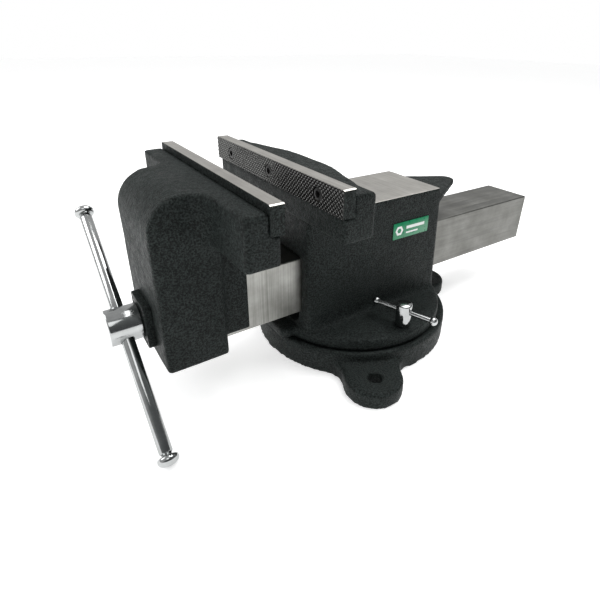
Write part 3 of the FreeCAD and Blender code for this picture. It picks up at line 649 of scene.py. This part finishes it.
def serrated_plate(node_name, grip_sign):
    """Jaw plate with small pyramids on its gripping face, sloped ends and three counterbores."""
    low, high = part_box(node_name)
    grip_y = high.y if grip_sign > 0 else low.y
    back_y = low.y if grip_sign > 0 else high.y
    near = 2 * PLATE_MARGIN
    edge_round = 0.3 * MM
    bm = pyramid_sheet(low, high, grip_y, grip_sign)
    for vertex in drawn_out(bm):
        vertex.co.y = grip_y - grip_sign * (SERRATION_DEPTH + 0.25 * MM)
        vertex.co.x = low.x if vertex.co.x < low.x + near else vertex.co.x
        vertex.co.x = high.x if vertex.co.x > high.x - near else vertex.co.x
        vertex.co.z = low.z if vertex.co.z < low.z + near else vertex.co.z
        vertex.co.z = high.z if vertex.co.z > high.z - near else vertex.co.z
    for vertex in drawn_out(bm):
        vertex.co.y = back_y + grip_sign * edge_round
    middle_z = (low.z + high.z) / 2
    for vertex in drawn_out(bm):
        vertex.co.y = back_y
        if abs(vertex.co.x) > high.x - 0.1 * MM:
            vertex.co.x -= math.copysign(edge_round, vertex.co.x)
        if abs(vertex.co.z - middle_z) > (high.z - low.z) / 2 - 0.1 * MM:
            vertex.co.z -= math.copysign(edge_round, vertex.co.z - middle_z)
    bmesh.ops.contextual_create(bm, geom=open_edges(bm))
    bmesh.ops.remove_doubles(bm, verts=bm.verts, dist=0.001 * MM)
    for side in (-1, 1):
        cut_away(bm, Vector((side * (high.x - PLATE_SLOPE), 0, high.z)), Vector((side * 0.45, 0, 0.89)))
        bmesh.ops.contextual_create(bm, geom=open_edges(bm))
    mesh = mesh_from(bm, "plate")
    drills = []
    for x in SCREW_X:
        mouth = Vector((x, grip_y + grip_sign * MM, SCREW_Z))
        drills.append((COUNTERBORE_R, mouth, Vector((x, grip_y - grip_sign * COUNTERBORE_DEPTH, SCREW_Z))))
        drills.append((SCREW_HOLE_R, mouth, Vector((x, back_y - grip_sign * MM, SCREW_Z))))
    return drilled(mesh, drills)


def screw_mesh(head_r, head_long, shank_r, shank_long, across):
    """Socket-head cap screw along +Z, its top at the origin and its shank running down."""
    edge = 0.08 * head_r
    bm = bmesh.new()
    profile = [(0, 0), (head_r - edge * 2, 0), (head_r - edge, edge * 0.3), (head_r, edge * 1.4),
               (head_r, head_long), (shank_r, head_long)]
    turns = int(shank_long / (1.0 * MM))
    for k in range(turns):
        base = head_long + 0.4 * MM + k * 1.0 * MM
        profile.append((shank_r, base))
        profile.append((shank_r * 0.86, base + 0.5 * MM))
    profile += [(shank_r * 0.8, head_long + shank_long), (0, head_long + shank_long)]
    lathe(bm, profile, Vector((0, 0, 0)), Vector((0, 0, -1)), 48)
    screw = new_object("screw", mesh_from(bm, "screw"))
    bm = bmesh.new()
    lathe(bm, [(0, 0), (across / math.sqrt(3), 0), (across / math.sqrt(3), head_long * 0.55 + MM),
               (0, head_long * 0.55 + MM + across * 0.12)],
          Vector((0, 0, MM)), Vector((0, 0, -1)), 6)
    mesh = cut_by(screw, [new_object("hex", mesh_from(bm, "hex"))])
    return mesh


def several(mesh, places, direction):
    """One mesh made of copies of a +Z mesh, turned to a direction at each place."""
    turn = Z_AXIS.rotation_difference(direction).to_matrix().to_4x4()
    bm = bmesh.new()
    for index, place in enumerate(places):
        twist = Matrix.Rotation(0.4 + 0.7 * index, 4, "Z")
        copy = mesh.copy()
        copy.transform(Matrix.Translation(place) @ turn @ twist)
        bm.from_mesh(copy)
        bpy.data.meshes.remove(copy)
    joined = bpy.data.meshes.new("several")
    bm.to_mesh(joined)
    bm.free()
    return joined


def build_plates():
    """Both jaw plates with their screws."""
    for node_name, screws, body, sign in (("rear_jaw_plate", "rear_jaw_screws", "body", -1),
                                          ("front_jaw_plate", "front_jaw_screws", "front_jaw", 1)):
        mesh = serrated_plate(node_name, sign)
        smooth_shade(mesh, 12.0)
        grip_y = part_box(node_name)[1 if sign > 0 else 0].y
        add_piece(node_name + "_serrated", mesh, plate_steel(node_name + "_steel", grip_y, sign),
                  body, "jaw_steel", node_name)
        low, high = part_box(screws)
        top_y = high.y if sign > 0 else low.y
        single = screw_mesh(5.0 * MM, 6.0 * MM, 3.0 * MM, 14.0 * MM, 5.0 * MM)
        group = several(single, [Vector((x, top_y, SCREW_Z)) for x in SCREW_X], Vector((0, sign, 0)))
        smooth_shade(group, 30.0)
        add_piece(screws + "_socket", group, BLACK_STEEL, body, "black_steel", screws)


# Screw, handle and retainer ------------------------------------------------------------

def joint_axis(name):
    """Unit vector along a joint's axis."""
    joint = next(item for item in frame["joints"] if item["name"] == name)
    return Vector(joint["axis"]).normalized()


def handle_line():
    """Centre of the handle's hole and its direction towards the lower knob."""
    return Vector((0, middle_of("handle_bar").y, AXIS_Z)), joint_axis("handle_slide")


def build_spindle():
    """Chromed head with its cross hole, then the collar and the real screw thread."""
    low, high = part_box("spindle_screw")
    centre, way = handle_line()
    head_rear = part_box("retainer_plate")[0].y - 0.4 * MM
    bm = bmesh.new()
    head_r = (high.x - low.x) / 2
    lathe(bm, rounded_end(head_r, head_rear - low.y, 1.0 * MM), Vector((0, low.y, AXIS_Z)), Y_AXIS, 96)
    hole_r = HANDLE_R + 0.25 * MM
    head = drilled(mesh_from(bm, "head"), [(hole_r, centre - way * 0.02, centre + way * 0.02)])
    head = bevelled(head, 0.35 * MM, 40.0)
    smooth_shade(head, 40.0)
    add_piece("screw_head", head, CHROME, "spindle", "chrome", "spindle_screw")

    bm = bmesh.new()
    collar_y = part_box("front_jaw_casting")[0].y + 0.3 * MM
    front = Vector((0, head_rear, AXIS_Z))
    collar = collar_y - head_rear
    profile = [(0, 0), (10.0 * MM, 0), (10.0 * MM, collar), (13.2 * MM, collar),
               (13.6 * MM, collar + 0.4 * MM), (13.6 * MM, collar + 4.6 * MM),
               (13.2 * MM, collar + 5.0 * MM), (THREAD_R, collar + 5.0 * MM),
               (THREAD_R, collar + 24.0 * MM), (0, collar + 24.0 * MM)]
    lathe(bm, profile, front, Y_AXIS, 64)
    thread(bm, collar_y + 24.0 * MM, high.y)
    shaft = mesh_from(bm, "thread")
    smooth_shade(shaft, 30.0)
    add_piece("screw_thread", shaft, PLAIN_STEEL, "spindle", "chrome")


def thread(bm, start_y, end_y, sides=40):
    """Trapezoidal thread along +Y, as one closed sheet of rings that follow the helix."""
    steps = 10
    rows = int((end_y - start_y) / THREAD_LEAD * steps)
    rings = []
    for row in range(rows + 1):
        along = row * THREAD_LEAD / steps
        ring = []
        for k in range(sides):
            turn = k / sides
            phase = (along / THREAD_LEAD - turn) % 1.0
            flank = min(max((abs(phase - 0.5) - 0.16) / 0.14, 0.0), 1.0)
            radius = THREAD_R - THREAD_DEPTH * flank
            ends = min(row, rows - row) / steps
            radius = min(radius, THREAD_R - THREAD_DEPTH * max(0.0, 1.0 - ends))
            angle = 2 * math.pi * turn
            ring.append(bm.verts.new((radius * math.cos(angle), start_y + along,
                                      AXIS_Z + radius * math.sin(angle))))
        rings.append(ring)
    for low, high in zip(rings, rings[1:]):
        for k in range(sides):
            after = (k + 1) % sides
            bm.faces.new((low[k], low[after], high[after], high[k]))
    bm.faces.new(rings[0])
    bm.faces.new(rings[-1])


def build_handle():
    """Handle rod with a neck at each end, and its two pressed-on knobs."""
    centre, way = handle_line()
    reach = {}
    for node_name, sign in (("lower_handle_knob", 1), ("upper_handle_knob", -1)):
        reach[sign] = (middle_of(node_name) - centre).dot(way) * sign
    start = centre - way * (reach[-1] - KNOB_INSET)
    length = reach[1] + reach[-1] - 2 * KNOB_INSET
    neck = 1.6 * MM
    profile = [(0, 0), (3.6 * MM, 0), (3.9 * MM, neck * 0.6), (4.6 * MM, neck), (HANDLE_R, neck + 0.7 * MM),
               (HANDLE_R, length - neck - 0.7 * MM), (4.6 * MM, length - neck),
               (3.9 * MM, length - neck * 0.6), (3.6 * MM, length), (0, length)]
    bm = bmesh.new()
    lathe(bm, profile, start, way, 64)
    rod = mesh_from(bm, "rod")
    smooth_shade(rod, 40.0)
    add_piece("handle_rod", rod, CHROME, "handle", "chrome", "handle_bar")
    for node_name, sign in (("lower_handle_knob", 1), ("upper_handle_knob", -1)):
        outward = way * sign
        base = centre + outward * (reach[sign] - KNOB_INSET)
        bm = bmesh.new()
        lathe(bm, knob_profile(), base, outward, 64)
        knob = mesh_from(bm, "knob")
        smooth_shade(knob, 50.0)
        add_piece(node_name + "_turned", knob, CHROME, "handle", "chrome", node_name)


def knob_profile():
    """Flattened mushroom: flat underside, short rim and a low dome."""
    points = [(0, 0), (3.6 * MM, 0), (5.6 * MM, 0.1 * MM), (7.0 * MM, 0.6 * MM), (7.6 * MM, 1.5 * MM)]
    dome_start = 3.0 * MM
    dome_high = 4.9 * MM
    points.append((KNOB_R, dome_start))
    for k in range(1, 9):
        angle = math.pi / 2 * k / 9
        points.append((KNOB_R * math.cos(angle), dome_start + dome_high * math.sin(angle)))
    points.append((0.0, dome_start + dome_high))
    return points


def build_retainer():
    """Retainer plate with its small screws."""
    plate = bevelled(frame["nodes"]["retainer_plate"].data.copy(), 0.3 * MM, 40.0)
    smooth_shade(plate, 30.0)
    add_piece("retainer_cover", plate, CAST, "front_jaw", "black_steel", "retainer_plate")
    low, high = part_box("retainer_screws")
    spots = [Vector((x, low.y, z)) for x in (low.x + 3.5 * MM, high.x - 3.5 * MM)
             for z in (low.z + 3.5 * MM, high.z - 3.5 * MM)]
    single = screw_mesh(3.5 * MM, 3.5 * MM, 2.0 * MM, 12.0 * MM, 3.0 * MM)
    group = several(single, spots, Vector((0, -1, 0)))
    smooth_shade(group, 30.0)
    add_piece("retainer_cap_screws", group, BLACK_STEEL, "front_jaw", "black_steel", "retainer_screws")


# Swivel locks --------------------------------------------------------------------------

def build_locks():
    """Chromed lock screws and their sliding cross bars with ball ends."""
    for side in ("right", "left"):
        low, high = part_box(side + "_lock_screw")
        centre = middle_of(side + "_lock_screw")
        foot = Vector((centre.x, centre.y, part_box("body_casting")[0].z + LOCK_FOOT))
        way = joint_axis(side + "_lock_bar_slide")
        bar_centre = middle_of(side + "_lock_bar")
        bm = bmesh.new()
        tall = high.z - foot.z
        profile = [(0, 0), (LOCK_POST_R, 0), (LOCK_POST_R, tall - 1.4 * MM), (6.9 * MM, tall - 0.6 * MM),
                   (6.1 * MM, tall - 0.1 * MM), (0, tall)]
        lathe(bm, profile, foot, Z_AXIS, 64)
        hole_r = LOCK_BAR_R + 0.2 * MM
        post = drilled(mesh_from(bm, "post"), [(hole_r, bar_centre - way * 0.02, bar_centre + way * 0.02)])
        post = bevelled(post, 0.2 * MM, 40.0)
        bm = bmesh.new()
        bm.from_mesh(post)
        lathe(bm, [(0, 0), (5.0 * MM, 0), (5.0 * MM, foot.z - low.z), (0, foot.z - low.z)],
              Vector((centre.x, centre.y, low.z)), Z_AXIS, 32)
        post = mesh_from(bm, "post")
        smooth_shade(post, 40.0)
        add_piece(side + "_lock_post", post, CHROME, side + "_lock", "chrome", side + "_lock_screw")

        rod_half = LOCK_BAR_REACH - 3 * MM
        bm = bmesh.new()
        lathe(bm, [(0, 0), (LOCK_BAR_R, 0), (LOCK_BAR_R, 2 * rod_half), (0, 2 * rod_half)],
              bar_centre - way * rod_half, way, 32)
        for sign in (-1, 1):
            end = bar_centre + way * sign * LOCK_BAR_REACH
            lathe(bm, ball_profile(LOCK_BALL_R), end - way * sign * LOCK_BALL_R, way * sign, 40)
        bar = mesh_from(bm, "bar")
        smooth_shade(bar, 40.0)
        add_piece(side + "_lock_tommy_bar", bar, CHROME, side + "_lock_bar", "chrome",
                  side + "_lock_bar")


# Label ---------------------------------------------------------------------------------

def build_label():
    """Green label plate with a generic white nut outline and two plain stripes."""
    plate = bevelled(frame["nodes"]["side_label"].data.copy(), 0.15 * MM, 40.0)
    smooth_shade(plate, 30.0)
    add_piece("label_plate", plate, LABEL_GREEN, "body", "label", "side_label")
    low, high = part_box("side_label")
    lean = math.atan2(high.x - 0.6 * MM - low.x, high.z - low.z)
    outward = Vector((math.cos(lean), 0, math.sin(lean)))
    upward = Vector((-math.sin(lean), 0, math.cos(lean)))
    middle = Vector(((low.x + high.x) / 2 + 0.3 * MM, (low.y + high.y) / 2, (low.z + high.z) / 2))

    def spot(a, b, lift):
        return middle + Y_AXIS * a + upward * b + outward * lift

    bm = bmesh.new()
    ring_centre = -15.5 * MM
    outer, inner = ([(ring_centre + radius * math.cos(k * math.pi / 3), radius * math.sin(k * math.pi / 3))
                     for k in range(6)] for radius in (5.0 * MM, 2.6 * MM))
    raised(bm, spot, outer, inner)
    for start, end, height, drop in ((-6.5, 17.5, 3.0, 1.8), (-6.5, 9.0, 1.6, -3.4)):
        corners = [(start * MM, (drop - height / 2) * MM), (end * MM, (drop - height / 2) * MM),
                   (end * MM, (drop + height / 2) * MM), (start * MM, (drop + height / 2) * MM)]
        raised(bm, spot, corners, None)
    print_mesh = mesh_from(bm, "print")
    add_piece("label_print", print_mesh, LABEL_WHITE, "body", "label")


def raised(bm, spot, outer, inner):
    """Thin raised shape on the label: a filled outline, or a ring between two outlines."""
    under = -0.05 * MM
    over = 0.06 * MM
    rings = []
    for outline in (outer, inner):
        if outline is None:
            continue
        rings.append([[bm.verts.new(spot(a, b, lift)) for a, b in outline] for lift in (under, over)])
    count = len(outer)
    for bottom, top in rings:
        for k in range(count):
            after = (k + 1) % count
            bm.faces.new((bottom[k], bottom[after], top[after], top[k]))
    if inner is None:
        bm.faces.new(rings[0][0])
        bm.faces.new(rings[0][1])
        return
    for level in (0, 1):
        for k in range(count):
            after = (k + 1) % count
            bm.faces.new((rings[0][level][k], rings[0][level][after],
                          rings[1][level][after], rings[1][level][k]))


# Carried-over CAD nodes ----------------------------------------------------------------

def refine(node_name, material, width):
    """CAD node that keeps its shape: small edge rounding and a finished material."""
    piece = frame["nodes"][node_name]
    piece.data.materials.clear()
    piece.data.materials.append(material)
    weld = piece.modifiers.new("weld", "WELD")
    weld.merge_threshold = 0.002 * MM
    change = piece.modifiers.new("bevel", "BEVEL")
    change.width = width
    change.segments = 2
    change.limit_method = "ANGLE"
    change.angle_limit = math.radians(35)
    piece.data.shade_smooth()
    tidy = piece.modifiers.new("normals", "WEIGHTED_NORMAL")
    tidy.keep_sharp = True
    return piece


def build_carried():
    """CAD nodes whose shape is already right."""
    refine("slide_bar", BAR_STEEL, 0.3 * MM)
    refine("spindle_nut", PLAIN_STEEL, 0.4 * MM)
    refine("nut_bolts", BLACK_STEEL, 0.2 * MM)
    refine("pivot_bolt", BLACK_STEEL, 0.4 * MM)
    refine("pivot_washer", PLAIN_STEEL, 0.2 * MM)
    refine("right_lock_shoe", PLAIN_STEEL, 0.2 * MM)
    refine("left_lock_shoe", PLAIN_STEEL, 0.2 * MM)
    refine("bar_pins", CAST, 0.2 * MM)
    refine("thrust_washer", BRONZE, 0.1 * MM)


# Stage ---------------------------------------------------------------------------------

def build_stage():
    """Pale floor, soft studio light and the camera."""
    bm = bmesh.new()
    size = 6.0
    corners = [bm.verts.new((x * size, y * size, 0.0)) for x, y in ((-1, -1), (1, -1), (1, 1), (-1, 1))]
    bm.faces.new(corners)
    floor = new_object("floor", mesh_from(bm, "floor"))
    floor.data.materials.append(floor_material())

    world = bpy.data.worlds.new("studio")
    bpy.context.scene.world = world
    world.use_nodes = True
    tree = world.node_tree
    background = tree.nodes["Background"]
    coords = node(tree, "ShaderNodeTexCoord")
    across = node(tree, "ShaderNodeVectorMath", operation="DOT_PRODUCT")
    across.inputs[1].default_value = DARK_SIDE
    link(tree, coords.outputs["Generated"], across.inputs[0])
    room = ramp(tree, spread(tree, across.outputs["Value"], 0.0, 1.0, -1.0, 1.0),
                [(0.0, (0.62, 0.62, 0.62)), (0.45, (0.54, 0.54, 0.54)), (0.68, (0.19, 0.20, 0.20)),
                 (1.0, (0.09, 0.09, 0.095))])
    rays = node(tree, "ShaderNodeLightPath")
    seen = mix_color(tree, rays.outputs["Is Camera Ray"], room, (1.0, 1.0, 1.0))
    link(tree, seen, background.inputs["Color"])
    background.inputs["Strength"].default_value = 1.0

    for name, place, size, power in (("key", (-0.7, -1.2, 1.0), 0.9, 9.0),
                                     ("fill", (0.9, -0.5, 1.4), 0.7, 2.5),
                                     ("top", (0.0, 0.6, 1.6), 1.2, 22.0)):
        data = bpy.data.lights.new(name, "AREA")
        data.size = size
        data.energy = power
        light = bpy.data.objects.new(name, data)
        light.location = place
        aim = Vector((0, -0.02, 0.08)) - Vector(place)
        light.rotation_euler = aim.to_track_quat("-Z", "Y").to_euler()
        bpy.context.scene.collection.objects.link(light)

    bpy.context.scene.view_settings.view_transform = "Standard"
    build_camera()


def build_camera():
    """Camera at the product view."""
    azimuth = math.radians(CAMERA_AZIMUTH)
    elevation = math.radians(CAMERA_ELEVATION)
    roll = math.radians(CAMERA_ROLL)
    back = Vector((math.sin(azimuth) * math.cos(elevation), -math.cos(azimuth) * math.cos(elevation),
                   math.sin(elevation)))
    level = Z_AXIS.cross(back).normalized()
    upright = back.cross(level)
    right = level * math.cos(roll) + upright * math.sin(roll)
    up = upright * math.cos(roll) - level * math.sin(roll)
    data = bpy.data.cameras.new("camera")
    data.lens = CAMERA_LENS
    data.sensor_width = 36.0
    data.shift_x, data.shift_y = CAMERA_SHIFT
    data.clip_start = 0.01
    camera = bpy.data.objects.new("camera", data)
    camera.matrix_world = Matrix.Translation(CAMERA_PLACE) @ Matrix((right, up, back)).transposed().to_4x4()
    bpy.context.scene.collection.objects.link(camera)
    bpy.context.scene.camera = camera


build_castings()
build_plates()
build_spindle()
build_handle()
build_retainer()
build_locks()
build_label()
build_carried()
build_stage()
